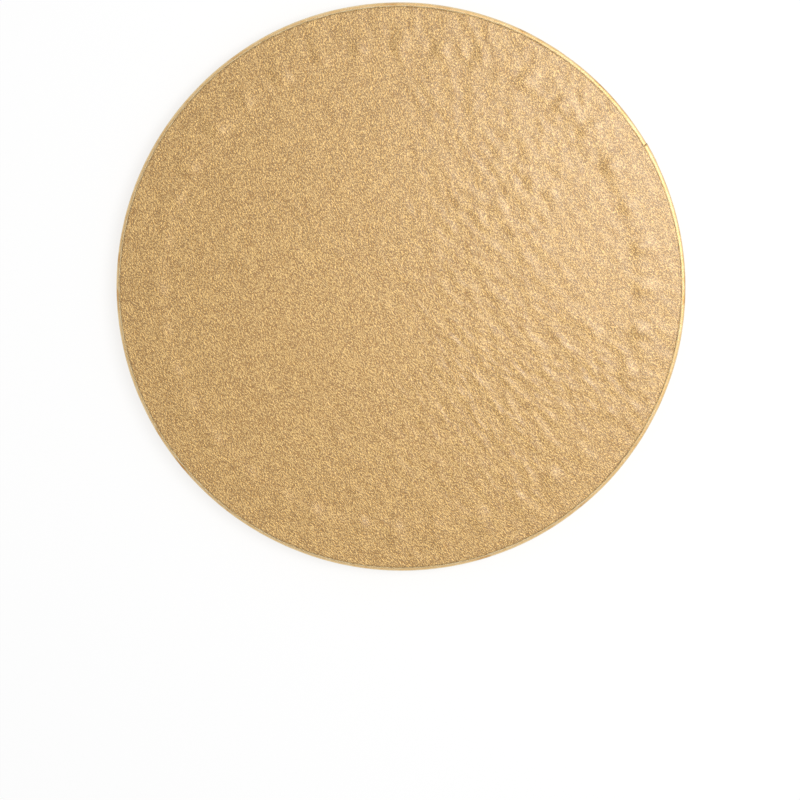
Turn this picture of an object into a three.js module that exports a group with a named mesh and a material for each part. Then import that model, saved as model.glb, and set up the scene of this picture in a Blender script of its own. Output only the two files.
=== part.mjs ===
// A round cake drum: the thick foil-covered board that a cake stands on.
// A disc of stiff board is edged with a strip of gold foil paper. The strip is turned over both faces in
// gathered margins, and its end laps over its start. A disc of embossed gold foil paper covers the face,
// and a disc of plain white paper covers the underside. Everything is glued, so nothing moves.
// Millimetres, +Z up, origin on the table under the middle of the board.
import * as THREE from 'three';

// Whole board
const boardDiameter = 304.8; // 12 in
const boardThickness = 12.7; // 1/2 in, measured over the papers beside the rim
const cornerRadius = 1.2; // where the foil turns over the edge

// Papers and glue
const bandThickness = 0.15;
const faceFoilThickness = 0.15;
const basePaperThickness = 0.15;
const glueLine = 0.05;
const faceInset = 2; // from the rim to the cut edge of the face foil
const baseInset = 8; // from the rim to the cut edge of the base paper

// Gathers that take up the slack where the band is turned over the faces
const marginWidth = 25; // from the rim to the cut edge of the margin
const gatherCount = 36;
const gatherRise = 0.4; // at the cut edge; a gather fades to nothing at the corner
const gatherWidth = 7; // at the cut edge, from foot to foot
const crestShare = 0.65; // a gather leans over, so its crest lies past its middle
const settleWidth = 4; // in which a cover sheet comes down from the margin to the core

// Lap of the band's end over its start
const lapLength = 10;
const lapRampLength = 4; // in which the strip climbs onto its own start
const lapBearing = THREE.MathUtils.degToRad(27);

const cornerSteps = 2;

const rim = boardDiameter / 2;
const cutEdge = rim - marginWidth;
const cornerCentre = rim - cornerRadius;
const turn = 2 * Math.PI;
const pitch = turn / gatherCount;

// Heights above the middle plane, on the face (side 1) and on the underside (side -1)
const coverThickness = (side) => (side > 0 ? faceFoilThickness : basePaperThickness);
const coverRadius = (side) => rim - (side > 0 ? faceInset : baseInset);
const marginTop = (side) => boardThickness / 2 - coverThickness(side) - glueLine;
const marginBottom = (side) => marginTop(side) - bandThickness;
const coreFace = (side) => marginBottom(side) - glueLine;

// Share of the full rise that a gather has at a bearing: up to the crest, and down its steeper flank.
function gatherShape(bearing) {
  const width = gatherWidth / cutEdge;
  const along = THREE.MathUtils.euclideanModulo(bearing, pitch) - (pitch - width) / 2;
  const crest = width * crestShare;
  return Math.max(0, Math.min(along / crest, (width - along) / (width - crest)));
}

// Height of a gather's ridge over the flat margin.
function ridge(radius, bearing) {
  const share = (cornerCentre - radius) / (cornerCentre - cutEdge);
  return gatherRise * THREE.MathUtils.clamp(share, 0, 1) * gatherShape(bearing);
}

// 1 where the strip lies on its own start, 0 where it lies on the core.
function lapLift(bearing) {
  const past = THREE.MathUtils.euclideanModulo(bearing - lapBearing + Math.PI, turn) - Math.PI;
  const before = -past * rim;
  const after = (past - lapLength / rim) * rim;
  return THREE.MathUtils.clamp(1 - Math.max(before, after) / lapRampLength, 0, 1);
}

// Bearings at which every layer has a row of points: the feet and crests of the gathers, the middles of
// the flats between them, and the ends of the lap. Layers that share them lie parallel, facet by facet.
function layerBearings() {
  const width = gatherWidth / cutEdge;
  const foot = (pitch - width) / 2;
  const steps = [0, foot, foot + width * crestShare, foot + width];
  const bearings = [];
  for (let i = 0; i < gatherCount; i++) {
    for (const step of steps) bearings.push(i * pitch + step);
  }
  const lapTurn = lapLength / rim;
  const rampTurn = lapRampLength / rim;
  for (const offset of [-rampTurn, 0, lapTurn, lapTurn + rampTurn]) {
    bearings.push(THREE.MathUtils.euclideanModulo(lapBearing + offset, turn));
  }
  bearings.sort((a, b) => a - b);
  const leastStep = 1e-4;
  return bearings.filter((b, i) => i === 0 || b - bearings[i - 1] > leastStep);
}

// Point at a radius, bearing and height.
function onBoard(radius, bearing, height) {
  return new THREE.Vector3(radius * Math.cos(bearing), radius * Math.sin(bearing), height);
}

const axisDistance = (point) => Math.hypot(point.x, point.y);

// Closed skin over sections that all have the same number of points, each a loop. The last section
// joins the first one, unless a flat outline is given that closes both ends. Facets are split along
// lines that run outward with the bearing, so that layers match whichever way their loops run.
function loft(sections, endOutline) {
  const count = sections[0].length;
  const positions = sections.flat().flatMap((p) => [p.x, p.y, p.z]);
  const index = [];
  const spans = endOutline ? sections.length - 1 : sections.length;
  for (let i = 0; i < spans; i++) {
    const here = i * count;
    const next = ((i + 1) % sections.length) * count;
    for (let j = 0; j < count; j++) {
      const k = (j + 1) % count;
      const [a, b, c, d] = [here + j, next + j, next + k, here + k];
      const outward = axisDistance(sections[i][j]) < axisDistance(sections[i][k]);
      index.push(...(outward ? [a, b, c, a, c, d] : [a, b, d, b, c, d]));
    }
  }
  if (endOutline) {
    const last = (sections.length - 1) * count;
    for (const [a, b, c] of THREE.ShapeUtils.triangulateShape(endOutline, [])) {
      index.push(a, b, c, last + c, last + b, last + a);
    }
  }
  const geometry = new THREE.BufferGeometry();
  geometry.setAttribute('position', new THREE.Float32BufferAttribute(positions, 3));
  geometry.setIndex(index);
  geometry.computeVertexNormals();
  return geometry;
}

// Inner line of the band over one edge, from the margin's cut edge to the middle of the wall. Each point
// has its place, and the way in which the layers lie on one another there.
function edgeLine(side) {
  const line = [cutEdge, coverRadius(side)].map((radius) => {
    return { radius, height: side * marginBottom(side), out: 0, up: side, onMargin: true };
  });
  const round = cornerRadius - bandThickness;
  for (let i = 0; i <= cornerSteps; i++) {
    const angle = (Math.PI / 2) * (1 - i / cornerSteps);
    const out = Math.cos(angle);
    const up = side * Math.sin(angle);
    const height = side * (marginTop(side) - cornerRadius) + round * up;
    line.push({ radius: cornerCentre + round * out, height, out, up, onMargin: i === 0 });
  }
  return line;
}

// Place of a point of the edge line, moved along its layers.
function layered(point, distance) {
  return new THREE.Vector2(point.radius + point.out * distance, point.height + point.up * distance);
}

// Disc of stiff board whose edges are pressed round.
function coreGeometry() {
  const line = [...edgeLine(-1), ...edgeLine(1).reverse()].filter((point) => point.radius >= cornerCentre);
  const edge = line.map((point) => layered(point, -glueLine));
  const profile = [new THREE.Vector2(0, -coreFace(-1)), ...edge, new THREE.Vector2(0, coreFace(1))];
  return loft(layerBearings().map((bearing) => profile.map((p) => onBoard(p.x, bearing, p.y))));
}

// Section of the band at a bearing, as a closed loop in the plane of radius and height.
function bandSection(bearing, lift) {
  const line = [...edgeLine(1), ...edgeLine(-1).reverse()];
  const outside = line.map((point) => {
    const fold = point.onMargin ? ridge(point.radius, bearing) : 0;
    return layered(point, bandThickness + fold + lift * (bandThickness + glueLine));
  });
  const inside = line.map((point) => {
    const fold = point.onMargin ? ridge(point.radius, bearing) : 0;
    return layered(point, lift * (bandThickness + fold + glueLine));
  });
  return [...inside, ...outside.reverse()];
}

// Strip of foil paper round the edge: a whole turn and the lap, with a cut end at both ends.
function bandGeometry() {
  const lapTurn = lapLength / rim;
  const start = THREE.MathUtils.euclideanModulo(lapBearing, turn);
  const turned = layerBearings().map((b) => THREE.MathUtils.euclideanModulo(b - start, turn));
  const nearly = 1e-6;
  const firstTurn = turned.map((b) => (turn - b < nearly ? 0 : b)).sort((a, b) => a - b);
  const lapped = firstTurn.filter((b) => b <= lapTurn + nearly).map((b) => b + turn);
  const sections = [...firstTurn, ...lapped].map((travel) => {
    const bearing = start + travel;
    const lift = travel < Math.PI ? 0 : lapLift(bearing);
    return bandSection(bearing, lift).map((p) => onBoard(p.x, bearing, p.y));
  });
  return loft(sections, bandSection(start, 0));
}

// Cover disc on one side, as one sheet that follows the margin, its gathers and the lap beneath it.
function coverGeometry(side) {
  const thickness = coverThickness(side);
  const onMargin = marginTop(side) + glueLine;
  const onCore = coreFace(side) + glueLine;
  const radii = [0, cutEdge - settleWidth, cutEdge, coverRadius(side)];
  const sections = layerBearings().map((bearing) => {
    const climb = lapLift(bearing) * (bandThickness + glueLine);
    const under = radii.map((r) => (r < cutEdge ? onCore : onMargin + ridge(r, bearing) + climb));
    const lower = radii.map((r, i) => onBoard(r, bearing, side * under[i]));
    const upper = radii.map((r, i) => onBoard(r, bearing, side * (under[i] + thickness)));
    return side > 0 ? [...lower, ...upper.reverse()] : [...upper, ...lower.reverse()];
  });
  return loft(sections);
}

const goldFoil = { color: 0xd8b070, metalness: 1, roughness: 0.42 };
const brightGoldFoil = { color: 0xe6bf72, metalness: 1, roughness: 0.34 };
const whitePaper = { color: 0xf1eee6, metalness: 0, roughness: 0.85 };
const brownBoard = { color: 0xb08a5c, metalness: 0, roughness: 0.9 };

function piece(name, geometry, finish) {
  const mesh = new THREE.Mesh(geometry, new THREE.MeshStandardMaterial(finish));
  mesh.name = name;
  return mesh;
}

const layers = new THREE.Group();
layers.add(piece('core_board', coreGeometry(), brownBoard));
layers.add(piece('edge_band', bandGeometry(), brightGoldFoil));
layers.add(piece('face_foil', coverGeometry(1), goldFoil));
layers.add(piece('base_paper', coverGeometry(-1), whitePaper));
layers.position.z = -new THREE.Box3().setFromObject(layers).min.z;

const cakeDrum = new THREE.Group();
cakeDrum.add(layers);

export default cakeDrum;
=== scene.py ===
"""Dresses a round cake drum: an embossed gold foil face, a foil strip gathered round the edge, a paper base.

Metres, +Z up, the foil face upwards. Bearings run anticlockwise from +X, seen from above.
"""

import math

import bpy
from mathutils import Matrix, Vector


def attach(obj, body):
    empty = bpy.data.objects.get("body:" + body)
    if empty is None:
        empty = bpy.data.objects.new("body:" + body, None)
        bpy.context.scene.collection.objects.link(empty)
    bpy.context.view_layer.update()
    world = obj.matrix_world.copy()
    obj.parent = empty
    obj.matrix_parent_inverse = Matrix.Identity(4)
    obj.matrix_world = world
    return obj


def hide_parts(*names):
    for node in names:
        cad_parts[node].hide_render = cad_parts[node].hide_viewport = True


MM = 0.001

# Board
RIM_RADIUS = 152.4 * MM
HALF_THICKNESS = 6.35 * MM
MIDDLE_HEIGHT = 6.75 * MM
CORNER_RADIUS = 1.2 * MM
RIM_WANDER = 0.55 * MM

# Papers
PAPER = 0.15 * MM
GLUE = 0.05 * MM
PRESSED_DOWN = -0.03 * MM  # lowest that a cover sheet dips, so that nothing shows through it
PRESSED_IN = -0.02 * MM  # furthest inward that the rim wanders
EASED = 0.1 * MM  # softening of both limits
MARGIN_WIDTH = 25 * MM
FACE_INSET = 1.5 * MM
FACE_OFF_CENTRE = (-0.15 * MM, -0.1 * MM)
BASE_INSET = 8 * MM

# Gathers of the margin
GATHER_COUNT = 36
GATHER_RISE = 0.52 * MM
GATHER_TURN = math.radians(-0.5)
RIDGE_WIDTH = 3.9 * MM
FURROW_ASIDE = 5.8 * MM
FURROW_WIDTH = 2.3 * MM
FURROW_SHARE = 0.3
FACE_SEED = 3
UNDER_SEED = 8

# Loose paper between the glued spots
SLACK_HEIGHT = 0.12 * MM
CREASE_HEIGHT = 0.46 * MM
CREASE_TURN = math.radians(52)
LOOSE_HEIGHT = 0.09 * MM

# Shares of the gathers and of the ripple that the underside has, since the board lies on it
UNDER_SHARE = 0.38
UNDER_RIPPLE = 0.1

# Lap of the strip's end over its start
LAP_BEARING = math.radians(27)
LAP_LENGTH = 10 * MM
LAP_RAMP = 4 * MM
LAP_SOFTENED = 9 * MM

# Fineness of the meshes
FACE_SECTORS = 720
FACE_RINGS = 96
BASE_SECTORS = 480
BASE_RINGS = 60
UNDER_RINGS = 36  # on the hidden side of a cover sheet
UNDER_CROWDING = 1.8  # over 1, these rings are closest by the cut edge
STRIP_SECTORS = 800
STRIP_RINGS = 50

# Colours that both foils share
# Pale colours of paper showing at scuffed cut edges; on the strip's turned corner they are also a painted
# highlight
SCUFF_AND_HIGHLIGHT_DEEP = (0.82, 0.58, 0.24, 1)
SCUFF_AND_HIGHLIGHT_BRIGHT = (0.92, 0.76, 0.45, 1)
# Painted dark reflection, put in patches on the strip's rounded corner where it turns away
PAINTED_DARK_REFLECTION = (0.12, 0.07, 0.015, 1)

# Floor
FLOOR_HALF = 6.0
FLOOR_GREY = 0.93
FLOOR_GLOW = 1.05
FLOOR_GLOW_SHARE = 0.72

# Camera
CAMERA_DISTANCE = 1.1
CAMERA_LEAN = (math.radians(1.5), math.radians(4))
IMAGE_SIZE = 800
BOARD_CENTRE_PX = (399.9, 289.5)
BOARD_RADIUS_PX = 285
SENSOR = 36


# Node trees


def feed(tree, socket, value):
    """Links an output to a socket, or sets the socket's own value."""
    if isinstance(value, bpy.types.NodeSocket):
        tree.links.new(value, socket)
    else:
        socket.default_value = value


def add_node(tree, kind, inputs=None, **settings):
    """A new node; its inputs are given by name or by index."""
    node = tree.nodes.new(kind)
    for name, value in settings.items():
        setattr(node, name, value)
    for key, value in (inputs or {}).items():
        if isinstance(key, int):
            socket = node.inputs[key]
        else:
            socket = next(s for s in node.inputs if s.name == key and s.enabled)
        feed(tree, socket, value)
    return node


def maths(tree, operation, *values, clamp=False):
    """Output of a Math node."""
    node = add_node(tree, "ShaderNodeMath", dict(enumerate(values)), operation=operation, use_clamp=clamp)
    return node.outputs[0]


def ramp(tree, value, start, end, low=0.0, high=1.0, smooth=True):
    """low up to start, high from end on."""
    kind = "SMOOTHSTEP" if smooth else "LINEAR"
    inputs = {0: value, 1: start, 2: end, 3: low, 4: high}
    return add_node(tree, "ShaderNodeMapRange", inputs, interpolation_type=kind).outputs[0]


def bell(tree, distance, width):
    """1 at the middle of a bump, falling off over its width."""
    share = maths(tree, "DIVIDE", distance, width)
    return maths(tree, "EXPONENT", maths(tree, "MULTIPLY", maths(tree, "MULTIPLY", share, share), -1.0))


def noise(tree, vector, scale, detail=1.0, roughness=0.5):
    """Noise about zero, from about -1 to 1."""
    inputs = {"Vector": vector, "Scale": scale, "Detail": detail, "Roughness": roughness}
    value = add_node(tree, "ShaderNodeTexNoise", inputs).outputs[0]
    return maths(tree, "MULTIPLY_ADD", value, 2.0, -1.0)


def drawn_out(tree, vector, turn, scale):
    """A vector turned and then scaled, so that a pattern on it runs long one way."""
    inputs = {"Vector": vector, "Rotation": turn}
    turned = add_node(tree, "ShaderNodeVectorRotate", inputs, rotation_type="EULER_XYZ").outputs[0]
    return add_node(tree, "ShaderNodeVectorMath", {0: turned, 1: scale}, operation="MULTIPLY").outputs[0]


def askew(tree, vector):
    """A vector turned so that no flat sheet lies along the noise's own grid, where it is weaker."""
    inputs = {"Vector": vector, "Rotation": (0.7, 0.5, 0.3)}
    return add_node(tree, "ShaderNodeVectorRotate", inputs, rotation_type="EULER_XYZ").outputs[0]


def random_value(tree, low, high, index, seed):
    """One random number for each index."""
    inputs = {"Min": low, "Max": high, "ID": index, "Seed": seed}
    node = add_node(tree, "FunctionNodeRandomValue", inputs, data_type="FLOAT")
    return next(s for s in node.outputs if s.enabled)


def new_tree(name, kind, inputs, outputs):
    """A node tree with named sockets, given as (name, type) or (name, type, default)."""
    tree = bpy.data.node_groups.new(name, kind)
    for direction, sockets in (("INPUT", inputs), ("OUTPUT", outputs)):
        for socket_name, socket_type, *default in sockets:
            full_type = "NodeSocket" + socket_type
            socket = tree.interface.new_socket(socket_name, in_out=direction, socket_type=full_type)
            if default:
                socket.default_value = default[0]
    start = tree.nodes.new("NodeGroupInput")
    end = tree.nodes.new("NodeGroupOutput")
    return tree, start.outputs, end.inputs


def use_group(tree, group, inputs):
    """Outputs of a group placed in a tree."""
    kind = "ShaderNodeGroup" if tree.bl_idname == "ShaderNodeTree" else "GeometryNodeGroup"
    return add_node(tree, kind, inputs, node_tree=group).outputs


# Shape of the papers


def relief_tree():
    """Relief of the papers at a radius and bearing.

    Margin is 1 on the turned-over margin and 0 inside its cut edge. Gathers and Ripple are heights.
    Wander is how far the rim stands out of true.
    """
    tree, given, result = new_tree(
        "paper_relief",
        "GeometryNodeTree",
        [
            ("Radius", "Float"),
            ("Bearing", "Float"),
            ("Rim Radius", "Float", RIM_RADIUS),
            ("Margin Width", "Float", MARGIN_WIDTH),
            ("Gather Count", "Float", float(GATHER_COUNT)),
            ("Gather Rise", "Float", GATHER_RISE),
            ("Gather Turn", "Float", GATHER_TURN),
            ("Rim Wander", "Float", RIM_WANDER),
            ("Seed", "Int", FACE_SEED),
        ],
        [("Margin", "Float"), ("Gathers", "Float"), ("Ripple", "Float"), ("Wander", "Float")],
    )
    radius, bearing, seed = given["Radius"], given["Bearing"], given["Seed"]
    cosine = maths(tree, "COSINE", bearing)
    sine = maths(tree, "SINE", bearing)
    round_inputs = {"X": cosine, "Y": sine, "Z": seed}
    on_circle = add_node(tree, "ShaderNodeCombineXYZ", round_inputs).outputs[0]
    place_inputs = {
        "X": maths(tree, "MULTIPLY", radius, cosine),
        "Y": maths(tree, "MULTIPLY", radius, sine),
        "Z": seed,
    }
    place = add_node(tree, "ShaderNodeCombineXYZ", place_inputs).outputs[0]

    wander = maths(tree, "MULTIPLY", noise(tree, on_circle, 1.7, 2.0), given["Rim Wander"])
    feed(tree, result["Wander"], maths(tree, "SMOOTH_MAX", wander, PRESSED_IN, EASED))

    # Share of the way from the margin's cut edge to the rim; the cut edge itself wavers a little
    cut_edge = maths(tree, "SUBTRACT", given["Rim Radius"], given["Margin Width"])
    waver = maths(tree, "MULTIPLY", noise(tree, on_circle, 9.0, 2.0), 0.045)
    outward = maths(tree, "DIVIDE", maths(tree, "SUBTRACT", radius, cut_edge), given["Margin Width"])
    outward = maths(tree, "ADD", outward, waver)
    feed(tree, result["Margin"], ramp(tree, outward, -0.16, 0.08))

    # Each gather stands a little off its place: a rounded ridge, highest where the fold ends, and a
    # furrow beside it
    turned = maths(tree, "SUBTRACT", bearing, given["Gather Turn"])
    pitch = maths(tree, "DIVIDE", 2 * math.pi, given["Gather Count"])
    steps = maths(tree, "DIVIDE", turned, pitch)
    nearest = maths(tree, "ROUND", steps)
    index = maths(tree, "FLOORED_MODULO", nearest, given["Gather Count"])
    astray = random_value(tree, -0.12, 0.12, index, seed)
    across = maths(tree, "SUBTRACT", maths(tree, "SUBTRACT", steps, nearest), astray)
    across = maths(tree, "MULTIPLY", maths(tree, "MULTIPLY", across, pitch), radius)
    lean = maths(tree, "MULTIPLY", outward, random_value(tree, -0.004, 0.004, index, 11))
    across = maths(tree, "ADD", across, lean)
    ridge = bell(tree, across, RIDGE_WIDTH)
    furrow = bell(tree, maths(tree, "SUBTRACT", across, FURROW_ASIDE), FURROW_WIDTH)
    furrow = maths(tree, "MULTIPLY", furrow, FURROW_SHARE)
    fold = maths(tree, "SUBTRACT", ridge, furrow)
    reach = random_value(tree, 0.38, 0.62, index, 7)
    starts = ramp(tree, outward, -0.17, 0.09)
    fades = ramp(tree, outward, 0.06, reach, 1.0, 0.08)
    strength = maths(tree, "MULTIPLY", random_value(tree, 0.45, 1.0, index, 5), given["Gather Rise"])
    fold = maths(tree, "MULTIPLY", fold, starts)
    fold = maths(tree, "MULTIPLY", fold, maths(tree, "MULTIPLY", fades, strength))
    feed(tree, result["Gathers"], fold)

    # Slack of the paper between its glued spots, and short creases that run down to the right, where
    # the paper is looser
    slack = maths(tree, "MULTIPLY", noise(tree, askew(tree, place), 42.0, 1.0), SLACK_HEIGHT)
    drawn = drawn_out(tree, place, (0.0, 0.0, CREASE_TURN), (0.95, 2.1, 1.0))
    crease = noise(tree, askew(tree, drawn), 95.0, 1.6, 0.55)
    patch = ramp(tree, noise(tree, askew(tree, place), 14.0, 0.0), -0.35, 0.3, 0.35, 1.0)
    loose = ramp(tree, maths(tree, "MULTIPLY", radius, cosine), -0.08, 0.08, 0.45, 1.3)
    crease = maths(tree, "MULTIPLY", maths(tree, "MULTIPLY", crease, patch), CREASE_HEIGHT)
    ripple = maths(tree, "MULTIPLY_ADD", maths(tree, "ADD", crease, LOOSE_HEIGHT), loose, slack)
    feed(tree, result["Ripple"], maths(tree, "SMOOTH_MAX", ripple, PRESSED_DOWN, EASED))
    return tree


def lap_lift(tree, bearing, climb=LAP_RAMP):
    """How far past the strip's start a bearing lies, and 1 where the strip lies on that start."""
    past = maths(tree, "SUBTRACT", bearing, LAP_BEARING)
    past = maths(tree, "WRAP", past, math.pi, -math.pi)
    past = maths(tree, "MULTIPLY", past, RIM_RADIUS)
    climbs = ramp(tree, past, -climb, 0.0)
    return past, climbs


def polar(tree, radius, bearing, height):
    """Position at a radius, bearing and height."""
    inputs = {
        "X": maths(tree, "MULTIPLY", radius, maths(tree, "COSINE", bearing)),
        "Y": maths(tree, "MULTIPLY", radius, maths(tree, "SINE", bearing)),
        "Z": height,
    }
    return add_node(tree, "ShaderNodeCombineXYZ", inputs).outputs[0]


def unit_grid(tree, columns, rows):
    """A grid, and each point's share of the way along it both ways."""
    grid = add_node(
        tree,
        "GeometryNodeMeshGrid",
        {
            "Size X": 1.0,
            "Size Y": 1.0,
            "Vertices X": maths(tree, "ADD", columns, 1.0),
            "Vertices Y": maths(tree, "ADD", rows, 1.0),
        },
    )
    place = add_node(tree, "GeometryNodeInputPosition").outputs[0]
    split = add_node(tree, "ShaderNodeSeparateXYZ", {0: place}).outputs
    along = maths(tree, "ADD", split[0], 0.5)
    up = maths(tree, "ADD", split[1], 0.5)
    return grid.outputs["Mesh"], along, up


def finish_tree(tree, mesh, position, attributes, flip, material, result):
    """Puts the points in place, joins the seams, stores the attributes and sets the material."""
    for name, value in attributes.items():
        mesh = add_node(
            tree,
            "GeometryNodeStoreNamedAttribute",
            {"Geometry": mesh, "Name": name, "Value": value},
            data_type="FLOAT",
            domain="POINT",
        ).outputs[0]
    mesh = add_node(tree, "GeometryNodeSetPosition", {"Geometry": mesh, "Position": position}).outputs[0]
    mesh = add_node(tree, "GeometryNodeFlipFaces", {"Mesh": mesh, "Selection": flip}).outputs[0]
    seam = {"Geometry": mesh, "Distance": 0.001 * MM}
    mesh = add_node(tree, "GeometryNodeMergeByDistance", seam).outputs[0]
    mesh = add_node(tree, "GeometryNodeSetShadeSmooth", {"Geometry": mesh, "Shade Smooth": True}).outputs[0]
    mesh = add_node(tree, "GeometryNodeRealizeInstances", {"Geometry": mesh}).outputs[0]
    mesh = add_node(tree, "GeometryNodeSetMaterial", {"Geometry": mesh, "Material": material}).outputs[0]
    feed(tree, result["Geometry"], mesh)


def sheet_tree(relief):
    """A cover sheet, on the face (Side 1) or the underside (Side -1).

    Its skin runs from the middle out to the cut edge, over it, and back to the middle beneath, where
    its rings are closest by the cut edge and it has no ripple.
    """
    tree, given, result = new_tree(
        "cover_sheet",
        "GeometryNodeTree",
        [
            ("Side", "Float", 1.0),
            ("Inset", "Float", FACE_INSET),
            ("Shift X", "Float", 0.0),
            ("Shift Y", "Float", 0.0),
            ("Ragged", "Float", 0.12 * MM),
            ("Edge Lift", "Float", 0.05 * MM),
            ("Paper", "Float", PAPER),
            ("Gather Share", "Float", 1.0),
            ("Ripple Share", "Float", 1.0),
            ("Sectors", "Int", FACE_SECTORS),
            ("Rings", "Int", FACE_RINGS),
            ("Under Rings", "Int", UNDER_RINGS),
            ("Seed", "Int", FACE_SEED),
            ("Material", "Material"),
        ],
        [("Geometry", "Geometry")],
    )
    rows = maths(tree, "ADD", maths(tree, "ADD", given["Rings"], given["Under Rings"]), 1.0)
    mesh, along, up = unit_grid(tree, given["Sectors"], rows)
    bearing = maths(tree, "MULTIPLY", along, 2 * math.pi)
    ring = maths(tree, "MULTIPLY", up, rows)
    outward = maths(tree, "MINIMUM", maths(tree, "DIVIDE", ring, given["Rings"]), 1.0)
    beneath = maths(tree, "SUBTRACT", maths(tree, "SUBTRACT", ring, given["Rings"]), 1.0)
    beneath = maths(tree, "DIVIDE", maths(tree, "MAXIMUM", beneath, 0.0), given["Under Rings"])
    beneath = maths(tree, "POWER", beneath, UNDER_CROWDING)
    share = maths(tree, "SUBTRACT", outward, beneath)
    layer = maths(tree, "SUBTRACT", 1.0, maths(tree, "SUBTRACT", ring, given["Rings"], clamp=True))

    # The cut edge follows the rim loosely, off centre and a little ragged
    circle = polar(tree, 1.0, bearing, given["Seed"])
    shift = maths(tree, "MULTIPLY", given["Shift X"], maths(tree, "COSINE", bearing))
    shift = maths(tree, "ADD", shift, maths(tree, "MULTIPLY", given["Shift Y"], maths(tree, "SINE", bearing)))
    rough = maths(tree, "MULTIPLY", noise(tree, circle, 55.0, 3.0, 0.7), given["Ragged"])
    cut = maths(tree, "SUBTRACT", RIM_RADIUS, given["Inset"])
    rim_only = use_group(tree, relief, {"Radius": RIM_RADIUS, "Bearing": bearing})
    cut = maths(tree, "ADD", cut, maths(tree, "ADD", shift, maths(tree, "ADD", rough, rim_only["Wander"])))
    radius = maths(tree, "MULTIPLY", cut, share)
    from_cut = maths(tree, "SUBTRACT", cut, radius)

    shape = use_group(tree, relief, {"Radius": radius, "Bearing": bearing, "Seed": given["Seed"]})
    past, climbs = lap_lift(tree, bearing, LAP_SOFTENED)
    leaves = ramp(tree, past, LAP_LENGTH, LAP_LENGTH + LAP_SOFTENED, 1.0, 0.0)
    on_lap = maths(tree, "MULTIPLY", maths(tree, "MULTIPLY", climbs, leaves), shape["Margin"])
    over_margin = maths(tree, "MULTIPLY", maths(tree, "ADD", shape["Margin"], on_lap), PAPER + GLUE)
    on_core = HALF_THICKNESS - 2 * PAPER - GLUE
    lift = maths(tree, "MULTIPLY", ramp(tree, from_cut, 0.0, 2.5 * MM, 1.0, 0.0), given["Edge Lift"])
    lift = maths(tree, "MULTIPLY", lift, maths(tree, "ADD", noise(tree, circle, 12.0, 2.0), 0.8))
    height = maths(tree, "ADD", on_core, over_margin)
    height = maths(tree, "MULTIPLY_ADD", shape["Gathers"], given["Gather Share"], height)
    near_cut = ramp(tree, from_cut, 1 * MM, 6 * MM, 1.0, 0.0)
    ripple = maths(tree, "MULTIPLY", shape["Ripple"], maths(tree, "MAXIMUM", layer, near_cut))
    height = maths(tree, "MULTIPLY_ADD", ripple, given["Ripple Share"], maths(tree, "ADD", height, lift))
    height = maths(tree, "MULTIPLY_ADD", layer, given["Paper"], height)
    height = maths(tree, "MULTIPLY_ADD", height, given["Side"], MIDDLE_HEIGHT)
    position = polar(tree, radius, bearing, height)
    flip = maths(tree, "GREATER_THAN", given["Side"], 0.0)
    attributes = {"from_cut": from_cut}
    finish_tree(tree, mesh, position, attributes, flip, given["Material"], result)
    return tree


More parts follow.
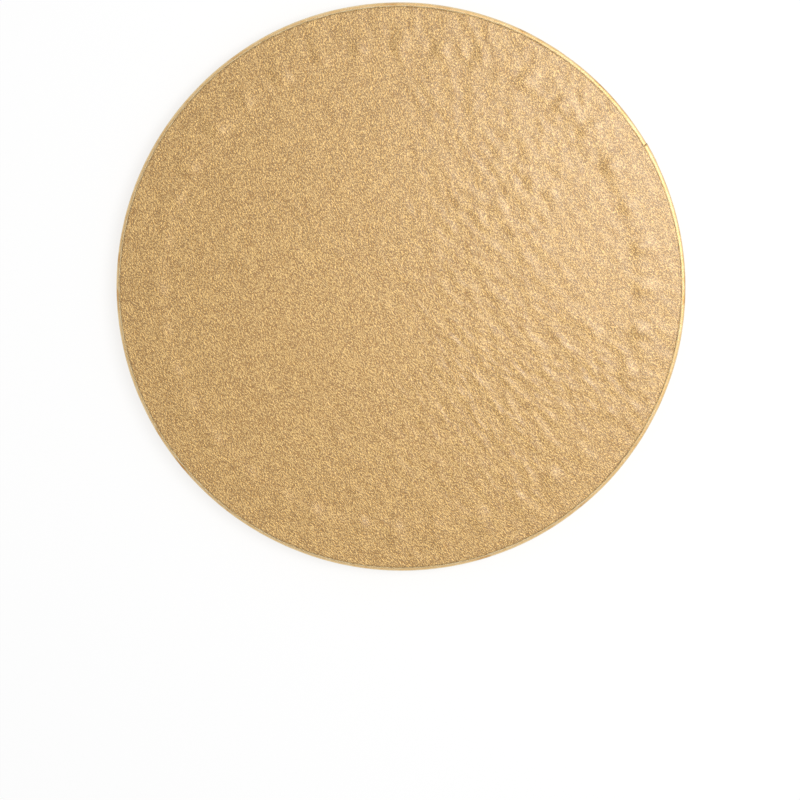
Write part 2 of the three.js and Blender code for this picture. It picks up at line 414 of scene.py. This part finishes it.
def strip_tree(relief):
    """The edging strip: a whole turn and the lap.

    Its skin runs from the margin on the underside round the wall to the margin on the face, and
    back inside. At both cut ends the skin's two sides close on each other.
    """
    tree, given, result = new_tree(
        "edging_strip",
        "GeometryNodeTree",
        [
            ("Paper", "Float", PAPER),
            ("Corner Radius", "Float", CORNER_RADIUS),
            ("Margin Width", "Float", MARGIN_WIDTH),
            ("End Lift", "Float", 0.12 * MM),
            ("Sectors", "Int", STRIP_SECTORS),
            ("Rings", "Int", STRIP_RINGS),
            ("Seed", "Int", FACE_SEED),
            ("Material", "Material"),
        ],
        [("Geometry", "Geometry")],
    )
    rings = given["Rings"]
    rows = maths(tree, "MULTIPLY_ADD", rings, 2.0, 2.0)
    mesh, along, up = unit_grid(tree, given["Sectors"], rows)
    whole = 2 * math.pi + LAP_LENGTH / RIM_RADIUS
    travel = maths(tree, "MULTIPLY", along, whole)
    bearing = maths(tree, "ADD", travel, LAP_BEARING)
    ring = maths(tree, "MULTIPLY", up, rows)
    out = maths(tree, "MINIMUM", maths(tree, "DIVIDE", ring, rings), 1.0)
    back = maths(tree, "SUBTRACT", maths(tree, "SUBTRACT", ring, rings), 1.0)
    back = maths(tree, "DIVIDE", maths(tree, "MAXIMUM", back, 0.0), rings)
    share = maths(tree, "SUBTRACT", out, maths(tree, "MINIMUM", back, 1.0))
    inward = maths(tree, "SUBTRACT", ring, rings, clamp=True)
    returned = maths(tree, "SUBTRACT", ring, maths(tree, "MULTIPLY_ADD", rings, 2.0, 1.0), clamp=True)
    layer = maths(tree, "ADD", maths(tree, "SUBTRACT", 1.0, inward), returned)
    end_gap = maths(tree, "MINIMUM", along, maths(tree, "SUBTRACT", 1.0, along))
    at_end = maths(tree, "LESS_THAN", end_gap, 1e-5)
    layer = maths(tree, "ADD", layer, maths(tree, "MULTIPLY", at_end, maths(tree, "SUBTRACT", 0.5, layer)))

    # From the middle of the wall: up the wall, round the corner and over the margin
    signed = maths(tree, "MULTIPLY_ADD", share, 2.0, -1.0)
    side = maths(tree, "SIGN", signed)
    going = maths(tree, "ABSOLUTE", signed)
    corner = given["Corner Radius"]
    top = HALF_THICKNESS - PAPER - GLUE
    wall = ramp(tree, going, 0.0, 0.2, smooth=False)
    wall = maths(tree, "MULTIPLY", wall, maths(tree, "SUBTRACT", top, corner))
    angle = maths(tree, "MULTIPLY", ramp(tree, going, 0.2, 0.4, smooth=False), math.pi / 2)
    over = ramp(tree, going, 0.4, 1.0, smooth=False)
    over = maths(tree, "MULTIPLY", over, maths(tree, "SUBTRACT", given["Margin Width"], corner))
    outwards = maths(tree, "COSINE", angle)
    upwards = maths(tree, "MULTIPLY", maths(tree, "SINE", angle), side)
    shrink = maths(tree, "MULTIPLY", corner, maths(tree, "SUBTRACT", 1.0, outwards))
    radius = maths(tree, "SUBTRACT", maths(tree, "SUBTRACT", RIM_RADIUS, shrink), over)
    height = maths(tree, "MULTIPLY_ADD", wall, side, maths(tree, "MULTIPLY", corner, upwards))

    underneath = maths(tree, "LESS_THAN", signed, 0.0)
    seed = maths(tree, "MULTIPLY_ADD", underneath, float(UNDER_SEED - FACE_SEED), given["Seed"])
    shape = use_group(tree, relief, {"Radius": radius, "Bearing": bearing, "Seed": seed})
    rim_only = use_group(tree, relief, {"Radius": RIM_RADIUS, "Bearing": bearing})
    gathers = maths(tree, "MULTIPLY", shape["Gathers"], ramp(tree, underneath, 0.0, 1.0, 1.0, UNDER_SHARE))
    on_margin = ramp(tree, over, 0.0, 2 * MM)
    climbs = lap_lift(tree, bearing)[1]
    second_half = maths(tree, "GREATER_THAN", travel, math.pi)
    climbs = maths(tree, "MULTIPLY", climbs, second_half)
    under = maths(tree, "MULTIPLY", climbs, PAPER + GLUE)
    sprung = maths(tree, "MULTIPLY", ramp(tree, travel, whole - 0.02, whole), given["End Lift"])
    under = maths(tree, "ADD", under, sprung)
    thickness = maths(tree, "MULTIPLY", maths(tree, "SUBTRACT", layer, 1.0), given["Paper"])
    away = maths(tree, "ADD", under, thickness)
    away = maths(tree, "ADD", away, maths(tree, "MULTIPLY", gathers, on_margin))
    turned = drawn_out(tree, polar(tree, RIM_RADIUS, bearing, height), (0.3, 0.5, 0.0), (1.0, 1.0, 1.6))
    wrinkle = maths(tree, "MULTIPLY", noise(tree, turned, 95.0, 2.0), 0.05 * MM)
    wrinkle = maths(tree, "MULTIPLY", wrinkle, maths(tree, "SUBTRACT", 1.0, on_margin))
    away = maths(tree, "ADD", away, wrinkle)

    # Small puckers round the corner, where the paper takes up its slack
    circle = polar(tree, 1.0, bearing, side)
    near_corner = ramp(tree, over, 0.0, 6 * MM, 1.0, 0.0)
    at_corner = maths(tree, "MULTIPLY", maths(tree, "ABSOLUTE", upwards), near_corner)
    pucker = maths(tree, "MULTIPLY", noise(tree, circle, 48.0, 2.0, 0.6), 0.1 * MM)
    away = maths(tree, "MULTIPLY_ADD", pucker, at_corner, away)
    radius = maths(tree, "ADD", radius, maths(tree, "MULTIPLY", outwards, away))
    radius = maths(tree, "ADD", radius, rim_only["Wander"])
    height = maths(tree, "MULTIPLY_ADD", upwards, away, height)
    height = maths(tree, "ADD", height, MIDDLE_HEIGHT)
    position = polar(tree, radius, bearing, height)

    to_margin_edge = maths(tree, "SUBTRACT", maths(tree, "SUBTRACT", given["Margin Width"], corner), over)
    to_end = maths(tree, "MULTIPLY", maths(tree, "SUBTRACT", whole, travel), RIM_RADIUS)
    attributes = {
        "from_cut": maths(tree, "MINIMUM", to_margin_edge, to_end),
        "turned": maths(tree, "ABSOLUTE", upwards),
    }
    finish_tree(tree, mesh, position, attributes, False, given["Material"], result)
    return tree


def grow(name, tree, sizes, node):
    """A plain mesh piece made by a geometry tree, in place of a node of the frame."""
    holder = bpy.data.objects.new(name + "_maker", bpy.data.meshes.new(name + "_maker"))
    bpy.context.scene.collection.objects.link(holder)
    modifier = holder.modifiers.new("shape", "NODES")
    modifier.node_group = tree
    for item in tree.interface.items_tree:
        if item.item_type == "SOCKET" and item.in_out == "INPUT" and item.name in sizes:
            modifier[item.identifier] = sizes[item.name]
    holder.update_tag()
    evaluated = holder.evaluated_get(bpy.context.evaluated_depsgraph_get())
    mesh = bpy.data.meshes.new_from_object(evaluated)
    mesh.name = name
    bpy.data.objects.remove(holder)
    piece = bpy.data.objects.new(name, mesh)
    bpy.context.scene.collection.objects.link(piece)
    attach(piece, "root")
    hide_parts(node)
    return piece


# Finishes


def foil_grain():
    """Fine embossing of the foil: short strokes that run down to the right, over finer pips.

    Height is in metres. Cloud is a slow change of tone, about zero. The fast tone, about zero too,
    follows the height, so that raised strokes and pips come out paler: a painted glint of sheen.
    """
    tree, given, result = new_tree(
        "foil_grain",
        "ShaderNodeTree",
        [
            ("Vector", "Vector"),
            ("Stroke Size", "Float", 0.57 * MM),
            ("Stroke Height", "Float", 0.03 * MM),
            ("Pip Height", "Float", 0.025 * MM),
            ("Cloud Size", "Float", 7 * MM),
        ],
        [("Height", "Float"), ("Cloud", "Float"), ("Spark", "Float")],
    )
    drawn = drawn_out(tree, given["Vector"], (0.0, 0.0, math.radians(52)), (0.5, 1.0, 1.0))
    fine = maths(tree, "DIVIDE", 1.0, given["Stroke Size"])
    strokes = noise(tree, askew(tree, drawn), fine, 0.4, 0.5)
    pips = noise(tree, askew(tree, given["Vector"]), maths(tree, "MULTIPLY", fine, 1.15), 0.0, 0.5)
    height = maths(tree, "MULTIPLY", strokes, given["Stroke Height"])
    height = maths(tree, "ADD", height, maths(tree, "MULTIPLY", pips, given["Pip Height"]))
    feed(tree, result["Height"], height)
    coarse = maths(tree, "DIVIDE", 1.0, given["Cloud Size"])
    feed(tree, result["Cloud"], noise(tree, given["Vector"], coarse, 3.0, 0.6))
    # Fast tone that follows the height: a painted glint of sheen on the raised grain
    feed(tree, result["Spark"], maths(tree, "MULTIPLY", maths(tree, "ADD", strokes, pips), 0.7))
    return tree


def paper_fibre():
    """Fibres of bare paper and board. Height is in metres, Fleck about zero."""
    tree, given, result = new_tree(
        "paper_fibre",
        "ShaderNodeTree",
        [("Vector", "Vector"), ("Fibre Size", "Float", 0.6 * MM), ("Fibre Height", "Float", 0.01 * MM)],
        [("Height", "Float"), ("Fleck", "Float")],
    )
    fine = maths(tree, "DIVIDE", 1.0, given["Fibre Size"])
    along = drawn_out(tree, given["Vector"], (0.0, 0.0, 0.0), (0.35, 1.0, 1.0))
    fibres = noise(tree, askew(tree, along), fine, 4.0, 0.65)
    flecks = noise(tree, given["Vector"], maths(tree, "MULTIPLY", fine, 0.12), 3.0, 0.6)
    feed(tree, result["Height"], maths(tree, "MULTIPLY", fibres, given["Fibre Height"]))
    fleck = maths(tree, "MULTIPLY_ADD", flecks, 0.6, maths(tree, "MULTIPLY", fibres, 0.4))
    feed(tree, result["Fleck"], fleck)
    return tree


def cut_edge_wear():
    """Mask of the scuffed line beside a paper's cut edge, broken up along its length."""
    tree, given, result = new_tree(
        "cut_edge_wear",
        "ShaderNodeTree",
        [("Vector", "Vector"), ("From Cut", "Float"), ("Width", "Float", 0.5 * MM), ("Breaks", "Float", 0.9)],
        [("Mask", "Float")],
    )
    uneven = maths(tree, "MULTIPLY", noise(tree, given["Vector"], 260.0, 3.0, 0.7), given["Breaks"])
    width = maths(tree, "MULTIPLY", given["Width"], maths(tree, "ADD", uneven, 1.0))
    inside = maths(tree, "MULTIPLY", width, 0.55)
    feed(tree, result["Mask"], ramp(tree, given["From Cut"], inside, width, 1.0, 0.0))
    return tree


def corner_rubs_and_painted_light():
    """Masks of the foil's turned corner: pale patches, partly rubbed and partly a painted highlight; dark
    patches, a painted dark reflection.
    """
    tree, given, result = new_tree(
        "corner_rubs_and_painted_light",
        "ShaderNodeTree",
        [("Vector", "Vector"), ("Turned", "Float"), ("Patch Size", "Float", 22 * MM)],
        [("Rubbed", "Float"), ("Dull", "Float")],
    )
    coarse = maths(tree, "DIVIDE", 1.0, given["Patch Size"])
    patches = noise(tree, given["Vector"], coarse, 4.0, 0.65)
    # Pale on the corner's curve: partly rubbed wear, partly a painted highlight
    on_corner = bell(tree, maths(tree, "SUBTRACT", given["Turned"], 0.72), 0.3)
    feed(tree, result["Rubbed"], maths(tree, "MULTIPLY", on_corner, ramp(tree, patches, -0.4, 0.05)))
    # Painted dark reflection in patches below the pale band, where the corner turns away
    begins = ramp(tree, given["Turned"], 0.02, 0.12)
    ends = ramp(tree, given["Turned"], 0.2, 0.55, 1.0, 0.0)
    aside = maths(tree, "MULTIPLY", begins, ends)
    feed(tree, result["Dull"], maths(tree, "MULTIPLY", aside, ramp(tree, patches, -0.4, -0.15, 1.0, 0.0)))
    return tree


def new_material(name):
    """A material, its tree and shader, and the place on the piece."""
    material = bpy.data.materials.new(name)
    material.use_nodes = True
    tree = material.node_tree
    shader = tree.nodes["Principled BSDF"]
    place = add_node(tree, "ShaderNodeTexCoord").outputs["Object"]
    return material, tree, shader, place


def mix_colour(tree, share, first, second):
    """The first colour where share is 0, the second where it is 1."""
    node = add_node(tree, "ShaderNodeMix", data_type="RGBA")
    sockets = {s.name: s for s in node.inputs if s.enabled}
    for name, value in (("Factor", share), ("A", first), ("B", second)):
        feed(tree, sockets[name], value)
    return next(s for s in node.outputs if s.enabled)


def attribute(tree, name):
    """A number stored on the mesh by its geometry tree."""
    return add_node(tree, "ShaderNodeAttribute", attribute_name=name).outputs["Fac"]


def bump(tree, height):
    """Normal bent by a height in metres."""
    inputs = {"Strength": 1.0, "Distance": 1.0, "Height": height}
    return add_node(tree, "ShaderNodeBump", inputs).outputs[0]


def gold_foil(name, groups, deep, bright, corner, stroke_height, roughness, coat, wear_width):
    """Foil paper: satin gold, embossed, with the paper showing along its cut edges.

    Where the attribute turned is over 0 the foil turns over a corner: the colour corner, deeper, is
    a painted darker reflection there; its pale patches are partly rubbed and partly a painted highlight.
    """
    grain, wear, rubs_and_painted_light, fibre = groups
    material, tree, shader, place = new_material(name)
    grain_out = use_group(tree, grain, {"Vector": place, "Stroke Height": stroke_height})
    fibre_out = use_group(tree, fibre, {"Vector": place})
    wear_and_highlight = use_group(
        tree, wear, {"Vector": place, "From Cut": attribute(tree, "from_cut"), "Width": wear_width}
    )["Mask"]
    tone = maths(tree, "MULTIPLY_ADD", grain_out["Cloud"], 0.4, 0.42)
    # Paler on raised strokes and pips: a painted glint of sheen
    tone = maths(tree, "MULTIPLY_ADD", grain_out["Spark"], 1.9, tone, clamp=True)
    gold = mix_colour(tree, tone, deep, bright)
    turned = attribute(tree, "turned")
    # Deeper colour on the turned corner: a painted darker reflection of the foil turning away
    gold = mix_colour(tree, ramp(tree, turned, 0.1, 0.6), gold, corner)
    patches = use_group(tree, rubs_and_painted_light, {"Vector": place, "Turned": turned})
    # Painted dark reflection on the corner, in patches
    gold = mix_colour(tree, patches["Dull"], gold, PAINTED_DARK_REFLECTION)
    # Pale where cut edges are scuffed, and on the turned corner, partly rubbed and partly a painted highlight
    wear_and_highlight = maths(tree, "MAXIMUM", wear_and_highlight, patches["Rubbed"])
    fleck = ramp(tree, fibre_out["Fleck"], -0.4, 0.4)
    scuffed = mix_colour(tree, fleck, SCUFF_AND_HIGHLIGHT_DEEP, SCUFF_AND_HIGHLIGHT_BRIGHT)
    feed(tree, shader.inputs["Base Color"], mix_colour(tree, wear_and_highlight, gold, scuffed))
    feed(tree, shader.inputs["Metallic"], ramp(tree, wear_and_highlight, 0.0, 1.0, 0.8, 0.35))
    rough = maths(tree, "MULTIPLY_ADD", grain_out["Cloud"], 0.06, roughness)
    feed(tree, shader.inputs["Roughness"], maths(tree, "MULTIPLY_ADD", wear_and_highlight, 0.1, rough))
    feed(tree, shader.inputs["Normal"], bump(tree, grain_out["Height"]))
    shader.inputs["Coat Weight"].default_value = coat
    shader.inputs["Coat Roughness"].default_value = 0.4
    shader.inputs["Coat IOR"].default_value = 1.75
    return material


def plain_paper(fibre):
    material, tree, shader, place = new_material("base_liner_paper")
    fibre_out = use_group(tree, fibre, {"Vector": place})
    tone = ramp(tree, fibre_out["Fleck"], -0.5, 0.5)
    colour = mix_colour(tree, tone, (0.74, 0.72, 0.67, 1), (0.82, 0.80, 0.76, 1))
    feed(tree, shader.inputs["Base Color"], colour)
    feed(tree, shader.inputs["Roughness"], maths(tree, "MULTIPLY_ADD", tone, 0.08, 0.78))
    feed(tree, shader.inputs["Normal"], bump(tree, fibre_out["Height"]))
    shader.inputs["Specular IOR Level"].default_value = 0.3
    return material


def brown_board(fibre):
    material, tree, shader, place = new_material("core_fibre_board")
    fibre_out = use_group(tree, fibre, {"Vector": place, "Fibre Size": 1.1 * MM, "Fibre Height": 0.03 * MM})
    tone = ramp(tree, fibre_out["Fleck"], -0.5, 0.5)
    colour = mix_colour(tree, tone, (0.30, 0.19, 0.10, 1), (0.44, 0.30, 0.17, 1))
    feed(tree, shader.inputs["Base Color"], colour)
    feed(tree, shader.inputs["Roughness"], maths(tree, "MULTIPLY_ADD", tone, 0.08, 0.85))
    feed(tree, shader.inputs["Normal"], bump(tree, fibre_out["Height"]))
    return material


# Studio


def seen(tree):
    """1 for the camera's rays and for those that metal and glass send on."""
    rays = add_node(tree, "ShaderNodeLightPath").outputs
    both = maths(tree, "MAXIMUM", rays["Is Camera Ray"], rays["Is Glossy Ray"])
    return maths(tree, "MAXIMUM", both, rays["Is Transmission Ray"])


def make_floor():
    mesh = bpy.data.meshes.new("studio_floor")
    half = FLOOR_HALF
    corners = [(-half, -half, 0), (half, -half, 0), (half, half, 0), (-half, half, 0)]
    mesh.from_pydata(corners, [], [(0, 1, 2, 3)])
    floor = bpy.data.objects.new("studio_floor", mesh)
    bpy.context.scene.collection.objects.link(floor)
    material = bpy.data.materials.new("pale_floor")
    material.use_nodes = True
    tree = material.node_tree
    shader = tree.nodes["Principled BSDF"]
    shader.inputs["Base Color"].default_value = (FLOOR_GREY, FLOOR_GREY, FLOOR_GREY, 1)
    shader.inputs["Roughness"].default_value = 0.9
    shader.inputs["Specular IOR Level"].default_value = 0.1
    white = add_node(tree, "ShaderNodeEmission", {"Color": (1, 1, 1, 1), "Strength": FLOOR_GLOW}).outputs[0]
    share = maths(tree, "MULTIPLY", seen(tree), FLOOR_GLOW_SHARE)
    mixed = add_node(tree, "ShaderNodeMixShader", {0: share, 1: shader.outputs[0], 2: white}).outputs[0]
    tree.links.new(mixed, tree.nodes["Material Output"].inputs["Surface"])
    mesh.materials.append(material)


def make_world(dim, bright):
    """Even light: dim for the lighting itself, bright where the camera and shiny surfaces see it."""
    world = bpy.data.worlds.new("studio")
    bpy.context.scene.world = world
    world.use_nodes = True
    tree = world.node_tree
    background = tree.nodes["Background"]
    background.inputs["Color"].default_value = (1, 1, 1, 1)
    feed(tree, background.inputs["Strength"], ramp(tree, seen(tree), 0.0, 1.0, dim, bright, smooth=False))


def make_lamp(name, direction, distance, size, power):
    """Soft oblong lamp that faces the board from a direction."""
    lamp = bpy.data.lights.new(name, "AREA")
    lamp.shape = "RECTANGLE"
    lamp.size, lamp.size_y = size
    lamp.energy = power
    holder = bpy.data.objects.new(name, lamp)
    bpy.context.scene.collection.objects.link(holder)
    towards = Vector(direction).normalized()
    turn = towards.to_track_quat("Z", "Y").to_matrix().to_4x4()
    holder.matrix_world = Matrix.Translation(towards * distance) @ turn


def make_camera():
    """Looks down on the board, with the board's middle and size where the photograph has them."""
    data = bpy.data.cameras.new("camera")
    camera = bpy.data.objects.new("camera", data)
    bpy.context.scene.collection.objects.link(camera)
    bpy.context.scene.camera = camera
    lean_x, lean_y = CAMERA_LEAN
    face = Vector((0, 0, MIDDLE_HEIGHT + HALF_THICKNESS))
    towards = Vector((math.sin(lean_x), math.sin(lean_y), 1)).normalized()
    right = Vector((0, 1, 0)).cross(towards).normalized()
    upward = towards.cross(right)
    turn = Matrix((right, upward, towards)).transposed().to_4x4()
    camera.matrix_world = Matrix.Translation(face + towards * CAMERA_DISTANCE) @ turn
    data.sensor_width = SENSOR
    data.lens = BOARD_RADIUS_PX / IMAGE_SIZE * CAMERA_DISTANCE / RIM_RADIUS * SENSOR
    data.shift_x = 0.5 - BOARD_CENTRE_PX[0] / IMAGE_SIZE
    data.shift_y = BOARD_CENTRE_PX[1] / IMAGE_SIZE - 0.5
    data.clip_start = 0.01
    data.clip_end = 50


# Scene

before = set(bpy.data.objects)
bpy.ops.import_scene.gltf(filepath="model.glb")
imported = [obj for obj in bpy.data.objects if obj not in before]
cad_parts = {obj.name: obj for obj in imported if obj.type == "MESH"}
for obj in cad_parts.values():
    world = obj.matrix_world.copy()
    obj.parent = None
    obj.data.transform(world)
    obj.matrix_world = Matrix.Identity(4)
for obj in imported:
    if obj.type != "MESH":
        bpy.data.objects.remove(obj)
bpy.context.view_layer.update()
bpy.context.scene.view_settings.view_transform = "Standard"

make_camera()
make_floor()
make_world(dim=0.55, bright=1.0)
make_lamp("key", (0.42, 0.13, 1.0), 1.15, (0.4, 0.6), 6.7)

fibre = paper_fibre()
foil_groups = (foil_grain(), cut_edge_wear(), corner_rubs_and_painted_light(), fibre)
face_foil = gold_foil(
    "face_gold_foil",
    foil_groups,
    deep=(0.24, 0.108, 0.0, 1),
    bright=(0.565, 0.357, 0.108, 1),
    corner=(0.40, 0.20, 0.04, 1),
    stroke_height=0.22 * MM,
    roughness=0.48,
    coat=1.0,
    wear_width=0.6 * MM,
)
edge_foil = gold_foil(
    "edge_gold_foil",
    foil_groups,
    deep=(0.60, 0.36, 0.09, 1),
    bright=(0.90, 0.64, 0.22, 1),
    corner=(0.44, 0.20, 0.035, 1),
    stroke_height=0.03 * MM,
    roughness=0.36,
    coat=0.3,
    wear_width=0.3 * MM,
)

relief = relief_tree()
cover = sheet_tree(relief)
grow(
    "face_sheet",
    cover,
    {
        "Side": 1.0,
        "Inset": FACE_INSET,
        "Shift X": FACE_OFF_CENTRE[0],
        "Shift Y": FACE_OFF_CENTRE[1],
        "Sectors": FACE_SECTORS,
        "Rings": FACE_RINGS,
        "Material": face_foil,
    },
    "face_foil",
)
grow(
    "base_sheet",
    cover,
    {
        "Side": -1.0,
        "Inset": BASE_INSET,
        "Edge Lift": 0.0,
        "Gather Share": UNDER_SHARE,
        "Ripple Share": UNDER_RIPPLE,
        "Sectors": BASE_SECTORS,
        "Rings": BASE_RINGS,
        "Seed": UNDER_SEED,
        "Material": plain_paper(fibre),
    },
    "base_paper",
)
grow("edge_strip", strip_tree(relief), {"Material": edge_foil}, "edge_band")

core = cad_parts["core_board"]
for material_slot in core.material_slots:
    material_slot.material = brown_board(fibre)
